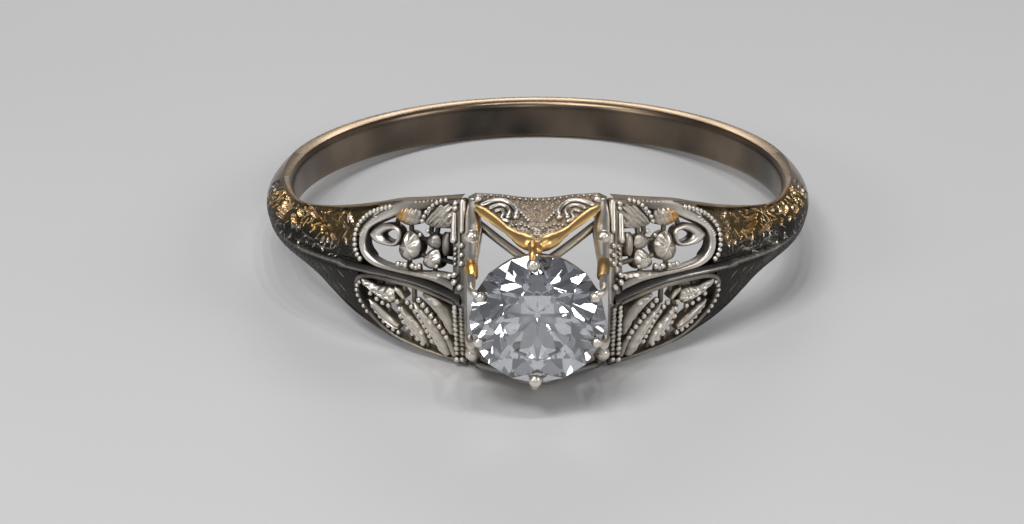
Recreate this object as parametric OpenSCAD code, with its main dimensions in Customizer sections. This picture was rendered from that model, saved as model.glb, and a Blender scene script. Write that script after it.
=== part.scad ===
// Filigree engagement ring, 1920s style, six-claw hexagonal head.
// Origin: centre of the finger hole. +Z runs along the finger, the stone faces -Y.

/* [Band] */
// inside diameter of the ring
bore_d = 17; // [14:0.1:22]
// thickness of the plain band
band_t = 1.0; // [0.7:0.05:2]
// width of the plain band
band_w = 1.4; // [0.9:0.05:3]

/* [Shoulders] */
// angle from the head where the engraved shoulder leaves the plain band
shoulder_end = 76; // [60:1:85]
// angle from the head where the engraving stops and the pierced gallery starts
gallery_end = 43; // [38:1:46]
// thickness of the pierced gallery sheet
sheet_t = 0.5; // [0.35:0.05:0.8]
// width of the knife-edge rib
ridge_w = 0.32; // [0.2:0.02:0.6]
// distance of the beaded crossbar from the middle of the head
bar_x = 2.32; // [2.3:0.01:2.6]
// thickness of the beaded crossbar
bar_t = 0.4; // [0.3:0.05:0.6]

/* [Head] */
// height of the girdle above the finger axis
girdle_h = 12.0; // [11:0.05:13]
// radius of the claw circle
claw_circle = 2.42; // [2.3:0.01:2.8]
// radius of one claw
claw_r = 0.23; // [0.15:0.01:0.35]
// height of the claw feet above the finger axis
claw_foot = 11.0; // [10.4:0.05:11.3]
// radius of a gold chevron wire
wire_r = 0.19; // [0.12:0.01:0.3]
// radius of a corner post
post_r = 0.24; // [0.15:0.01:0.3]

/* [Stone] */
// diameter of the stone
stone_d = 4.35; // [3:0.05:6]
// height of the crown
crown_h = 0.68; // [0.4:0.01:1]
// depth of the pavilion
pavilion_h = 1.87; // [1.2:0.01:2.5]
// diameter of the table
table_d = 2.3; // [1.5:0.05:4]

/* [Hidden] */
$fn = 64;
white = [0.70, 0.68, 0.64];
grey = [0.52, 0.50, 0.47];
gold = [0.86, 0.62, 0.26];
ice = [0.80, 0.86, 0.92];
bore_r = bore_d / 2;
band_r = bore_r + band_t;
rim_r = bore_r + 0.45;
girdle_t = 0.08;
stone_r = stone_d / 2;

// half-width of the ring and radius of its ridge, against angle from the head
half_w = [[0, 2.88], [4, 2.92], [8, 2.98], [12.5, 2.98], [15, 2.93], [19, 2.82], [24.6, 2.66],
          [30.8, 2.47], [37, 2.17], [44, 1.83], [50, 1.57], [60, 1.16], [69, 0.87], [76, 0.73]];
ridge_h = [[8, 11.4], [12, 11.0], [16, 10.3], [19, 9.94], [22, 9.67], [27, 9.40],
           [32, 9.32], [37, 9.38], [44, 9.46], [60, 9.5], [76, 9.5]];
function hw(a) = lookup(a, half_w);
function rh(a) = lookup(a, ridge_h);

// a point of the outer surface at angle a and height fraction f (0 ridge, 1 rim)
function rad(a, f) = rh(a) + (rim_r - rh(a)) * abs(f);
function at(a, f) = [rad(a, f) * sin(a), f * hw(a)];

// radius at which the solid shoulder's outline is drawn: the rim at the gallery, the bore at the band
function side_r(a) = rim_r - 0.45 * (a - gallery_end) / (shoulder_end - gallery_end);

// ---------- helpers ----------
module bore() { cylinder(r = bore_r, h = 14, center = true, $fn = 128); }

// turns a profile revolved about Z to stand along the stone axis (-Y)
module along_stone() { rotate([90, 0, 0]) children(); }

// round bar from p to q
module rod(p, q, r) {
  v = q - p;
  l = norm(v);
  translate(p) rotate([0, acos(v[2] / l), atan2(v[1], v[0])]) cylinder(r = r, h = l, $fn = 32);
}

// closed strip between the inner and outer surface, from angle a0 to a1, height fraction f0 to f1
module strip(a0, a1, f0, f1, depth, step = 1.5) {
  n = ceil((a1 - a0) / step);
  pts = [for (i = [0 : n]) let (a = a0 + (a1 - a0) * i / n, ro0 = rad(a, f0), ro1 = rad(a, f1),
      ri0 = max(bore_r - 0.2, ro0 - depth), ri1 = max(bore_r - 0.2, ro1 - depth))
    each [[ro0 * sin(a), -ro0 * cos(a), f0 * hw(a)], [ro1 * sin(a), -ro1 * cos(a), f1 * hw(a)],
          [ri1 * sin(a), -ri1 * cos(a), f1 * hw(a)], [ri0 * sin(a), -ri0 * cos(a), f0 * hw(a)]]];
  sides = [for (i = [0 : n - 1], k = [0 : 3]) let (p = 4 * i + k, q = 4 * i + (k + 1) % 4)
    each [[p, q, q + 4], [p, q + 4, p + 4]]];
  polyhedron(concat(pts, []), concat(sides, [[2, 1, 0], [3, 2, 0]],
    [[4 * n, 4 * n + 1, 4 * n + 2], [4 * n, 4 * n + 2, 4 * n + 3]]));
}

// upper half of the gallery sheet, trimmed by the bore
module sheet_up() {
  difference() { strip(10, gallery_end, 0, 1, sheet_t); bore(); }
}

// looks along the stone axis: a flat outline drawn in X-Z, pushed through the ring
module through(z0 = 4, z1 = 13) {
  translate([0, -z0, 0]) rotate([90, 0, 0]) linear_extrude(z1 - z0) children();
}

// zone between crossbar and shank, above the ridge
module zone() {
  translate([bar_x + bar_t, ridge_w / 2]) square([6, 4]);
}

// ---------- outlines of the upper gallery, in angle and height fraction ----------
hole_up = [[17.2, .19], [24, .17], [30, .17], [35.5, .17], [37.8, .27], [39, .40], [39.2, .55],
  [38.6, .70], [37, .80], [34.5, .87], [31, .90], [26, .91], [21, .91], [16, .91], [15, .6], [15, .3]];
leaf_up = [[39.8, .53], [38, .46], [36.5, .38], [34.5, .34], [32.5, .34], [30.5, .40], [29.6, .44],
  [29.6, .60], [31, .68], [33.5, .71], [36, .69], [37.8, .62]];
eye_up = [[34.4, .53], [33.2, .58], [31.6, .59], [30.9, .53], [31.6, .47], [33.2, .47]];
petal_up = [[30.4, .50], [29.6, .60], [28.2, .63], [26.6, .60], [25.4, .50], [25.2, .36],
  [26.4, .24], [27.4, .14], [29.2, .14], [29.6, .24], [30.4, .36]];
cluster_up = [[26, .36], [24.8, .50], [23.4, .62], [21.4, .68], [19.2, .63], [17.4, .55], [14, .50],
  [14, .38], [18, .36], [20.4, .28], [22.4, .14], [24.6, .14], [25.4, .24]];
gold_up = [[32, .80], [31, .93], [25.8, .93], [25.4, .80], [26.2, .70], [28, .66], [30, .69], [31.4, .74]];
blade_up = [[24.7, .78], [24, .93], [14, .93], [14, .64], [19, .69], [20.6, .72], [22.8, .68], [24.2, .71]];

// ---------- outlines of the lower gallery (fractions counted downward) ----------
hole_low = [[15, .12], [24, .12], [31, .12], [37.8, .12], [39.6, .22], [40.4, .40], [40.2, .60],
  [39.4, .78], [37, .88], [33, .93], [28, .95], [22, .95], [15, .95]];
leaf_a = [[40.6, .26], [38.6, .19], [36, .21], [33, .24], [31, .23], [30.6, .10], [29.8, .10],
  [29.8, .50], [32, .53], [34, .52], [36, .48], [38, .45], [40.6, .40]];
leaf_b = [[39.2, .64], [38, .57], [36, .57], [34, .62], [31.4, .68], [30.6, .68], [30.6, .46],
  [29.8, .46], [29.8, .97], [34, .97], [36.2, .86], [38.2, .74]];
leaf_c = [[29.8, .10], [29.8, .97], [24.6, .97], [24.8, .90], [25.2, .75], [26.5, .60], [28, .50],
  [28.9, .44], [28.9, .10]];
leaf_d = [[26, .40], [24.4, .97], [18, .97], [19.2, .84], [20.8, .70], [23, .52], [25.2, .38]];
leaf_e = [[29, .10], [29, .28], [26, .42], [25, .40], [22.5, .52], [20.5, .66], [18.4, .85], [14, .85],
  [14, .22], [17.6, .24], [19.6, .22], [20.6, .10]];

// a list of gallery points drawn as a flat outline
module outline(pts) { polygon([for (p = pts) at(p[0], p[1])]); }

// ---------- sub-parts, drawn on the +X side; left ones are mirrored ----------
module band_profile() {
  intersection() {
    translate([bore_r, -band_w / 2]) square([band_t, band_w]);
    translate([bore_r + band_t - 0.95, 0]) circle(r = 0.95, $fn = 48);
  }
  translate([bore_r, -band_w / 2]) square([band_t * 0.45, band_w]);
}

module shank() color(grey)
  rotate([0, 0, shoulder_end - 90]) rotate_extrude(angle = 360 - 2 * shoulder_end, $fn = 128)
    band_profile();

module shoulder() color(grey) intersection() {
  rotate([0, 0, gallery_end - 90]) rotate_extrude(angle = shoulder_end - gallery_end, $fn = 128)
    polygon([[bore_r, -2], [rim_r - 0.12, -2], [band_r - 0.02, 0], [rim_r - 0.12, 2], [bore_r, 2]]);
  through(0, 12) polygon(concat(
    [for (a = [gallery_end - 6 : 3 : shoulder_end]) [side_r(a) * sin(a), hw(a)]],
    [[band_r + 0.1, band_w / 2], [band_r + 0.1, -band_w / 2]],
    [for (a = [shoulder_end : -3 : gallery_end - 6]) [side_r(a) * sin(a), -hw(a)]]));
}

module ridge() color(grey) intersection() {
  linear_extrude(ridge_w, center = true)
    polygon(concat([for (a = [8 : 1 : gallery_end]) [rh(a) * sin(a), -rh(a) * cos(a)]],
      [for (a = [gallery_end : -1 : 8]) let (r = rh(a) - 0.55) [r * sin(a), -r * cos(a)]]));
  translate([bar_x + bar_t, -20, -3]) cube([10, 20, 6]);
}

module arch_upper() color(white) intersection() {
  sheet_up();
  through() difference() { zone(); outline(hole_up); }
}

module bloom_flat() {
  intersection() {
    outline(hole_up);
    zone();
    union() {
      difference() { outline(leaf_up); outline(eye_up); }
      outline(petal_up);
      outline(cluster_up);
    }
  }
}

module bloom_upper() color(white) intersection() { sheet_up(); through() bloom_flat(); }

module spray_upper() color(gold) intersection() {
  sheet_up();
  through() difference() {
    intersection() { outline(hole_up); zone(); union() { outline(gold_up); outline(blade_up); } }
    bloom_flat();
  }
}

module frame_lower() color(white) mirror([0, 0, 1]) intersection() {
  sheet_up();
  through() difference() { zone(); outline(hole_low); }
}

module pair_flat() {
  intersection() { outline(hole_low); zone(); union() { outline(leaf_a); outline(leaf_b); } }
}

module leaves_lower() color(white) mirror([0, 0, 1]) intersection() { sheet_up(); through() pair_flat(); }

module fan_lower() color(white) mirror([0, 0, 1]) intersection() {
  sheet_up();
  through() difference() {
    intersection() {
      outline(hole_low);
      zone();
      union() { outline(leaf_c); outline(leaf_d); outline(leaf_e); }
    }
    pair_flat();
  }
}

module crossbar() color(white) intersection() {
  difference() {
    union() { strip(8, 24, 0, 1, 4); mirror([0, 0, 1]) strip(8, 24, 0, 1, 4); }
    bore();
  }
  translate([bar_x, -20, -4]) cube([bar_t, 20, 8]);
}

// gallery plate of the head, a wedge that narrows toward the claw
module plate_raw() {
  translate([0, -8.6, 2.68]) rotate([8.5, 0, 0]) translate([0, 8.6, -0.18]) linear_extrude(0.36)
    polygon([[-bar_x, -8], [bar_x, -8], [bar_x, -8.9], [1.55, -9.5], [0.2, -11.2],
             [-0.2, -11.2], [-1.55, -9.5], [-bar_x, -8.9]]);
}

function claw_at(k) = [claw_circle * sin(60 * k), claw_circle * cos(60 * k)];

module claw_stems(r) {
  for (k = [0 : 5]) let (p = claw_at(k), foot = k % 3 == 0 ? claw_foot + 0.35 : claw_foot)
    translate([p[0], -foot, p[1]]) along_stone() cylinder(r = r, h = girdle_h + 0.25 - foot, $fn = 32);
}

module stone_body(grow = 0) {
  translate([0, -girdle_h, 0]) along_stone() rotate_extrude($fn = 64)
    polygon([[0, -girdle_t / 2 - pavilion_h - grow], [stone_r + grow, -girdle_t / 2],
             [stone_r + grow, girdle_t / 2], [table_d / 2 + grow, girdle_t / 2 + crown_h + grow],
             [0, girdle_t / 2 + crown_h + grow]]);
}

module seat_ring() color(white)
  translate([0, 0, 0]) along_stone() rotate_extrude($fn = 64)
    polygon([[1.52, 11.35], [2.2, 11.35], [2.2, 11.65], [1.86, 11.65]]);

module prongs() color(white) difference() {
  union() {
    claw_stems(claw_r);
    for (k = [0 : 5]) let (p = claw_at(k) * (2.12 / claw_circle))
      translate([p[0], -girdle_h - 0.27, p[1]]) sphere(r = 0.27, $fn = 32);
  }
  stone_body(0.01);
  seat_ring();
}

module chevron() color(gold) difference() {
  union() {
    for (s = [-1, 1]) rod([s * 1.9, -9.2, 2.86], [0, -11.5, 2.42], wire_r);
    translate([0, -11.5, 2.42]) sphere(r = 0.3, $fn = 32);
    for (s = [-1, 1]) translate([s * 1.9, -9.2, 2.86]) sphere(r = wire_r, $fn = 32);
  }
  claw_stems(claw_r);
  seat_ring();
}

module post() color(white) difference() {
  union() {
    rod([2.02, -8.7, 2.5], [2.08, -claw_foot, 1.21], post_r);
  }
  bore();
  translate([-5, -claw_foot - 5, -5]) cube([10, 5, 10]);
}

module brace() color(grey) difference() {
  union() {
    for (s = [-1, 1]) rod([s * 1.92, -9.3, 2.2], [0, -11.42, 2.1], 0.14);
    translate([0, -11.42, 2.1]) sphere(r = 0.14, $fn = 32);
  }
  chevron();
  claw_stems(claw_r);
  seat_ring();
  post();
  mirror([1, 0, 0]) post();
}

module plate() color(white) difference() {
  plate_raw();
  bore();
  chevron();
  brace();
  claw_stems(claw_r);
  post();
  mirror([1, 0, 0]) post();
}

module left() { mirror([1, 0, 0]) children(); }
module down() { mirror([0, 0, 1]) children(); }

shank();
left() shoulder();  // shoulder_left
shoulder();  // shoulder_right
left() ridge();  // ridge_left
ridge();  // ridge_right
left() arch_upper();  // arch_upper_left
arch_upper();  // arch_upper_right
left() bloom_upper();  // bloom_upper_left
bloom_upper();  // bloom_upper_right
left() spray_upper();  // spray_upper_left
spray_upper();  // spray_upper_right
left() frame_lower();  // frame_lower_left
frame_lower();  // frame_lower_right
left() leaves_lower();  // leaves_lower_left
leaves_lower();  // leaves_lower_right
left() fan_lower();  // fan_lower_left
fan_lower();  // fan_lower_right
left() crossbar();  // crossbar_left
crossbar();  // crossbar_right
plate();  // plate_upper
down() plate();  // plate_lower
chevron();  // chevron_upper
down() chevron();  // chevron_lower
brace();  // brace_upper
down() brace();  // brace_lower
left() post();  // post_upper_left
post();  // post_upper_right
left() down() post();  // post_lower_left
down() post();  // post_lower_right
prongs();
seat_ring();
color(ice) stone_body();  // diamond
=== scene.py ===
import math
import bmesh
import bpy
import numpy as np
from mathutils import Matrix, Vector


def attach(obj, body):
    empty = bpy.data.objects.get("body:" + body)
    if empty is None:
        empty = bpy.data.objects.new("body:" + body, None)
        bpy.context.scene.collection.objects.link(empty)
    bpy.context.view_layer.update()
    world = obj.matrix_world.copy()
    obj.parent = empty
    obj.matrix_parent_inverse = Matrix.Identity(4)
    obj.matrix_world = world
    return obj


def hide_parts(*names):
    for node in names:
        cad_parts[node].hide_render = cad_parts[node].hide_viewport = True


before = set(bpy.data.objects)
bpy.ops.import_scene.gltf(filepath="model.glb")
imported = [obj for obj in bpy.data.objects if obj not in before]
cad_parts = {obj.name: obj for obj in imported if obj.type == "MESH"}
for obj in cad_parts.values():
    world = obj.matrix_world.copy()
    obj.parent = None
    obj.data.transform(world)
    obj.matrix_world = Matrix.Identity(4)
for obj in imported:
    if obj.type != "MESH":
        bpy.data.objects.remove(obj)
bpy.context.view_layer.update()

MM = 0.001
RNG = np.random.default_rng(7)

# ------------------------------------------------------------------ shape of the ring
BORE = 8.5
RIM = 8.95
HALF_W = [(0, 2.88), (4, 2.92), (8, 2.98), (12.5, 2.985), (15, 2.93), (19, 2.82), (24.6, 2.66), (30.8, 2.47), (37, 2.17),
          (44, 1.83), (50, 1.57), (60, 1.17), (69, 0.88), (77, 0.75), (88, 0.70), (180, 0.70)]
RIDGE = [(8, 11.5), (12, 11.0), (16, 10.3), (19, 9.94), (22, 9.67), (27, 9.40), (32, 9.33),
         (37, 9.38), (44, 9.48), (50, 9.58), (56, 9.66), (63, 9.68), (70, 9.60), (78, 9.50), (90, 9.47), (180, 9.47)]
EDGE = [(8, 8.95), (40, 8.95), (44, 8.92), (52, 8.78), (60, 8.72), (78, 8.74), (90, 8.88), (112, 9.10), (180, 9.12)]


def pchip(table):
    """Smooth interpolation without overshoot through a table of (x, y)."""
    x = np.array([p[0] for p in table], float)
    y = np.array([p[1] for p in table], float)
    h = np.diff(x)
    d = np.diff(y) / h
    m = np.zeros(len(x))
    for i in range(1, len(x) - 1):
        if d[i - 1] * d[i] > 0:
            w1, w2 = 2 * h[i] + h[i - 1], h[i] + 2 * h[i - 1]
            m[i] = (w1 + w2) / (w1 / d[i - 1] + w2 / d[i])
    m[0], m[-1] = d[0], d[-1]

    def f(q):
        q = np.clip(np.asarray(q, float), x[0], x[-1])
        i = np.clip(np.searchsorted(x, q) - 1, 0, len(h) - 1)
        t = (q - x[i]) / h[i]
        t2, t3 = t * t, t * t * t
        return ((2 * t3 - 3 * t2 + 1) * y[i] + (t3 - 2 * t2 + t) * h[i] * m[i]
                + (-2 * t3 + 3 * t2) * y[i + 1] + (t3 - t2) * h[i] * m[i + 1])
    return f


hw = pchip(HALF_W)
rh = pchip(RIDGE)
re = pchip(EDGE)


def smooth(x, a, b):
    t = np.clip((np.asarray(x, float) - a) / (b - a), 0, 1)
    return t * t * (3 - 2 * t)


def base(side, a, f):
    """Outer surface: side is +1 right or -1 left, a the angle from the head in degrees, f from -1 (lower rim) over 0 (ridge) to 1 (upper rim)."""
    a = np.asarray(a, float)
    f = np.asarray(f, float)
    k = smooth(a, 50, 74)
    p = 1.0 + 1.3 * k
    af = np.abs(f)
    R = rh(a)
    r = R + (re(a) - R) * af ** p + (1 - k) * 0.10 * af * (1 - af) * smooth(a, 12, 24)
    t = np.radians(a)
    return np.stack([side * r * np.sin(t), -r * np.cos(t), f * hw(a)], -1)


def normal(side, a, f):
    a = np.asarray(a, float)
    f = np.asarray(f, float)
    fa = np.where(np.abs(f) < 0.02, np.where(f < 0, -0.02, 0.02), f)
    du = base(side, a + 0.1, fa) - base(side, a - 0.1, fa)
    dv = base(side, a, fa + 0.01) - base(side, a, fa - 0.01)
    n = np.cross(du, dv) * side
    return n / np.linalg.norm(n, axis=-1, keepdims=True)


UA, VF = 9.2 * math.pi / 180, 2.3     # chart scale: mm per degree, mm per height fraction


def to3(side, uv, h):
    """Chart point (mm along, mm up) and height over the surface to millimetres in the ring's frame."""
    a = uv[..., 0] / UA
    f = uv[..., 1] / VF
    return base(side, a, f) + normal(side, a, f) * np.asarray(h)[..., None]


def chart(pts):
    p = np.array(pts, float)
    return np.stack([p[:, 0] * UA, p[:, 1] * VF], -1)


# ------------------------------------------------------------------ curve and mesh helpers
def spline(pts, n, closed=False):
    """n points at even spacing on a Catmull-Rom curve through pts."""
    p = np.array(pts, float)
    m = len(p)
    if closed:
        idx = [[(i - 1) % m, i, (i + 1) % m, (i + 2) % m] for i in range(m)]
    else:
        idx = [[max(i - 1, 0), i, i + 1, min(i + 2, m - 1)] for i in range(m - 1)]
    t = np.linspace(0, 1, 24, endpoint=False)[:, None]
    out = []
    for a, b, c, d in idx:
        A, B, C, D = p[a], p[b], p[c], p[d]
        out.append(0.5 * (2 * B + (C - A) * t + (2 * A - 5 * B + 4 * C - D) * t ** 2
                          + (3 * B - A - 3 * C + D) * t ** 3))
    q = np.concatenate(out + ([out[0][:1]] if closed else [p[-1:]]))
    s = np.concatenate([[0], np.cumsum(np.linalg.norm(np.diff(q, axis=0), axis=1))])
    at = np.linspace(0, s[-1], n, endpoint=not closed)
    return np.stack([np.interp(at, s, q[:, k]) for k in range(q.shape[1])], -1)


def length_of(q):
    return float(np.linalg.norm(np.diff(q, axis=0), axis=1).sum())


def grid_faces(n, m, off=0, wrap_n=False, wrap_m=False, flip=False):
    i = np.arange(n if wrap_n else n - 1)
    j = np.arange(m if wrap_m else m - 1)
    I, J = np.meshgrid(i, j, indexing="ij")
    I2, J2 = (I + 1) % n, (J + 1) % m
    q = np.stack([I * m + J, I2 * m + J, I2 * m + J2, I * m + J2], -1).reshape(-1, 4) + off
    return q[:, ::-1] if flip else q


class Mesh:
    """Collects vertices and faces in millimetres."""

    def __init__(self):
        self.v, self.q, self.t, self.n, self.w, self.g = [], [], [], 0, [], []
        self.gold = 0.0

    def add(self, V, quads=None, tris=None, wear=0.0, gold=None):
        V = np.asarray(V, float).reshape(-1, 3)
        self.v.append(V)
        g = np.asarray(self.gold if gold is None else gold, float)
        self.g.append(np.full(len(V), float(g)) if g.ndim == 0 else g.reshape(-1))
        w = np.asarray(wear, float)
        self.w.append(np.full(len(V), float(w)) if w.ndim == 0 else w.reshape(-1))
        if quads is not None and len(quads):
            self.q.append(np.asarray(quads) + self.n)
        if tris is not None and len(tris):
            self.t.append(np.asarray(tris) + self.n)
        self.n += len(V)
        return self

    def slab(self, top, bot, top_wear_and_painted_light=0.0, bottom_wear_and_painted_light=0.0, gold=None):
        """Closed solid between two grids of the same size."""
        n, m = top.shape[:2]
        V = np.concatenate([top.reshape(-1, 3), bot.reshape(-1, 3)])
        N = n * m
        F = [grid_faces(n, m), grid_faces(n, m, N, flip=True)]
        ring = np.concatenate([np.arange(0, m - 1), np.arange(m - 1, N - 1, m),
                               np.arange(N - 1, N - m, -1), np.arange(N - m, 0, -m)])
        nxt = np.roll(ring, -1)
        F.append(np.stack([ring, nxt, nxt + N, ring + N], -1))
        w = np.concatenate([np.broadcast_to(np.asarray(top_wear_and_painted_light, float), (n, m)).ravel(),
                            np.broadcast_to(np.asarray(bottom_wear_and_painted_light, float), (n, m)).ravel()])
        if gold is not None:
            g = np.broadcast_to(np.asarray(gold, float), (n, m)).ravel()
            gold = np.concatenate([g, g])
        return self.add(V, np.concatenate(F), wear=w, gold=gold)

    def tube(self, path, rad, seg=16, up=None, flat=1.0, wear=0.0):
        """Round (or flattened) bar along a path with rounded ends; rad is one value or one per point."""
        P = np.asarray(path, float)
        n = len(P)
        R = np.broadcast_to(np.asarray(rad, float), (n,)).copy()
        T = np.gradient(P, axis=0)
        T /= np.linalg.norm(T, axis=1, keepdims=True)
        U = np.array(up if up is not None else (0.0, 0.0, 1.0), float)
        U = np.broadcast_to(U, (n, 3)) if U.ndim == 1 else U
        B = np.cross(T, U)
        B /= np.linalg.norm(B, axis=1, keepdims=True) + 1e-12
        Nn = np.cross(B, T)
        ca = np.linspace(0, 2 * math.pi, seg, endpoint=False)
        caps = [0.0, 0.45, 0.78, 0.95]
        rows, cen, fac = [], [], []
        for e in range(4):
            s = 1 - caps[e] if e else 1.0
            s = [1.0, 0.89, 0.62, 0.31][e]
            rows.append((P[0] - T[0] * R[0] * s, B[0], Nn[0], R[0] * math.sqrt(max(0, 1 - s * s))))
        rows = rows[1:] if R[0] > 0 else rows
        for i in range(n):
            rows.append((P[i], B[i], Nn[i], R[i]))
        for s in (0.31, 0.62, 0.89):
            rows.append((P[-1] + T[-1] * R[-1] * s, B[-1], Nn[-1], R[-1] * math.sqrt(1 - s * s)))
        V = np.array([c + b * (r * math.cos(x)) + nn * (r * flat * math.sin(x))
                      for c, b, nn, r in rows for x in ca])
        k = len(rows)
        F = grid_faces(k, seg, wrap_m=True, flip=True)
        V = np.concatenate([V, [P[0] - T[0] * R[0], P[-1] + T[-1] * R[-1]]])
        j = np.arange(seg)
        tr = np.concatenate([np.stack([np.full(seg, k * seg), j, (j + 1) % seg], -1),
                             np.stack([np.full(seg, k * seg + 1), (k - 1) * seg + (j + 1) % seg,
                                       (k - 1) * seg + j], -1)])
        return self.add(V, F, tr, wear=wear)

    def balls(self, C, r, normal_dir=None, squash=1.0, wear=1.0, lat=8, lon=12):
        """Small beads at points C."""
        C = np.asarray(C, float)
        r = np.broadcast_to(np.asarray(r, float), (len(C),))
        th = np.linspace(0, math.pi, lat + 1)[1:-1]
        ph = np.linspace(0, 2 * math.pi, lon, endpoint=False)
        S = np.array([[math.sin(t) * math.cos(p), math.sin(t) * math.sin(p), math.cos(t)]
                      for t in th for p in ph] + [[0, 0, 1], [0, 0, -1]])
        m = len(th)
        F = grid_faces(m, lon, wrap_m=True)
        j = np.arange(lon)
        tr = np.concatenate([np.stack([np.full(lon, m * lon), j, (j + 1) % lon], -1),
                             np.stack([np.full(lon, m * lon + 1), (m - 1) * lon + (j + 1) % lon,
                                       (m - 1) * lon + j], -1)])
        for c, q in zip(C, r):
            self.add(c + S * q, F, tr, wear=wear)
        return self

    def build(self, name, mat, nodes=(), flat=False, sharp=None):
        V = np.concatenate(self.v) * MM
        loops, starts, totals = [], [], []
        at = 0
        for F, k in ([(np.concatenate(self.q), 4)] if self.q else []) + \
                    ([(np.concatenate(self.t), 3)] if self.t else []):
            loops.append(F.reshape(-1))
            starts.append(at + np.arange(len(F)) * k)
            totals.append(np.full(len(F), k))
            at += F.size
        me = bpy.data.meshes.new(name)
        me.vertices.add(len(V))
        me.vertices.foreach_set("co", V.astype(np.float32).ravel())
        L = np.concatenate(loops).astype(np.int32)
        me.loops.add(len(L))
        me.loops.foreach_set("vertex_index", L)
        S = np.concatenate(starts).astype(np.int32)
        me.polygons.add(len(S))
        me.polygons.foreach_set("loop_start", S)
        me.update(calc_edges=True)
        me.validate()
        bm = bmesh.new()
        bm.from_mesh(me)
        bmesh.ops.recalc_face_normals(bm, faces=bm.faces)
        bm.to_mesh(me)
        bm.free()
        # this attribute holds real wear and painted light: low values paint shade, high values paint highlights
        att = me.attributes.new("wear", "FLOAT", "POINT")
        att.data.foreach_set("value", np.concatenate(self.w).astype(np.float32))
        att = me.attributes.new("gold", "FLOAT", "POINT")
        att.data.foreach_set("value", np.concatenate(self.g).astype(np.float32))
        if not flat:
            me.polygons.foreach_set("use_smooth", np.ones(len(me.polygons), bool))
            if sharp is not None:
                me.set_sharp_from_angle(angle=math.radians(sharp))
        o = bpy.data.objects.new(name, me)
        bpy.context.scene.collection.objects.link(o)
        me.materials.append(mat)
        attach(o, "root")
        if nodes:
            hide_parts(*nodes)
        return o


# ------------------------------------------------------------------ leaves, bands and beads on the surface
def leaf(M, side, spine, widths, H=0.16, th=0.30, teeth=0, tooth=0.22, tooth_side=0, vein=0.05,
         lift=0.0, n=64, m=17, tilt=0.0, wear=0.6, ribs=0):
    """A carved leaf on the surface. spine: (angle, height) control points; widths: half-widths in mm along it
    (one value, or left and right pairs). teeth: serrations on tooth_side (-1, 1 or 0 for both)."""
    uv = spline(chart(spine), n)
    T = np.gradient(uv, axis=0)
    T /= np.linalg.norm(T, axis=1, keepdims=True)
    Nv = np.stack([-T[:, 1], T[:, 0]], -1)
    t = np.linspace(0, 1, n)
    W = np.array([w if isinstance(w, tuple) else (w, w) for w in widths], float)
    tw = np.linspace(0, 1, len(W))
    wl = np.maximum(pchip(list(zip(tw, W[:, 0])))(t), 0.012)
    wr = np.maximum(pchip(list(zip(tw, W[:, 1])))(t), 0.012)
    if teeth:
        saw = (t * teeth) % 1.0
        cut = 1 - tooth * (1 - np.abs(2 * saw - 1)) ** 1.5
        if tooth_side <= 0:
            wl = wl * cut
        if tooth_side >= 0:
            wr = wr * cut
    s = np.linspace(-1, 1, m)
    S, TT = np.meshgrid(s, t)
    width = np.where(S < 0, wl[:, None], wr[:, None])
    UV = uv[:, None, :] + Nv[:, None, :] * (S * width)[..., None]
    ends = np.minimum(1, np.minimum(TT, 1 - TT) * 7) ** 0.5
    dome = (1 - np.abs(S) ** 2.4) * (0.35 + 0.65 * ends)
    h = lift + H * dome - vein * np.exp(-(S / 0.13) ** 2) * ends + tilt * S
    if ribs:
        h = h - 0.028 * (0.5 + 0.5 * np.cos(2 * math.pi * (TT * ribs - np.abs(S) * 0.8))) * ends * (1 - np.abs(S) ** 4)
    top = to3(side, UV, h)
    bot = to3(side, UV, np.full_like(h, -th))
    if side < 0:
        top, bot = top[:, ::-1], bot[:, ::-1]
    w = wear * np.clip(0.25 + 0.75 * dome, 0, 1)
    w = w[:, ::-1] if side < 0 else w
    M.slab(top, bot, w, 0.0)
    return M


def annulus(M, side, outer, inner, H=0.15, th=0.30, n=72, m=9, wear=0.6):
    """A domed leaf with an eye: the strip between two closed outlines."""
    O = spline(chart(outer), n, True)
    I = spline(chart(inner), n, True)
    s = np.linspace(0, 1, m)
    UV = O[:, None, :] * (1 - s)[None, :, None] + I[:, None, :] * s[None, :, None]
    d = (1 - np.abs(2 * s - 1) ** 2.2)[None, :] * np.ones((n, 1))
    top = to3(side, UV, H * d)
    bot = to3(side, UV, np.full((n, m), -th))
    V = np.concatenate([top.reshape(-1, 3), bot.reshape(-1, 3)])
    N = n * m
    F = [grid_faces(n, m, wrap_n=True, flip=True), grid_faces(n, m, N, wrap_n=True)]
    i = np.arange(n)
    j = (i + 1) % n
    F.append(np.stack([i * m, j * m, j * m + N, i * m + N], -1)[:, ::-1][:, ::-1])
    F.append(np.stack([j * m + m - 1, i * m + m - 1, i * m + m - 1 + N, j * m + m - 1 + N], -1))
    F = np.concatenate(F)
    if side < 0:
        F = F[:, ::-1]
    w = np.concatenate([(wear * (0.25 + 0.75 * d)).ravel(), np.zeros(N)])
    M.add(V, F, wear=w)
    return M


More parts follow.
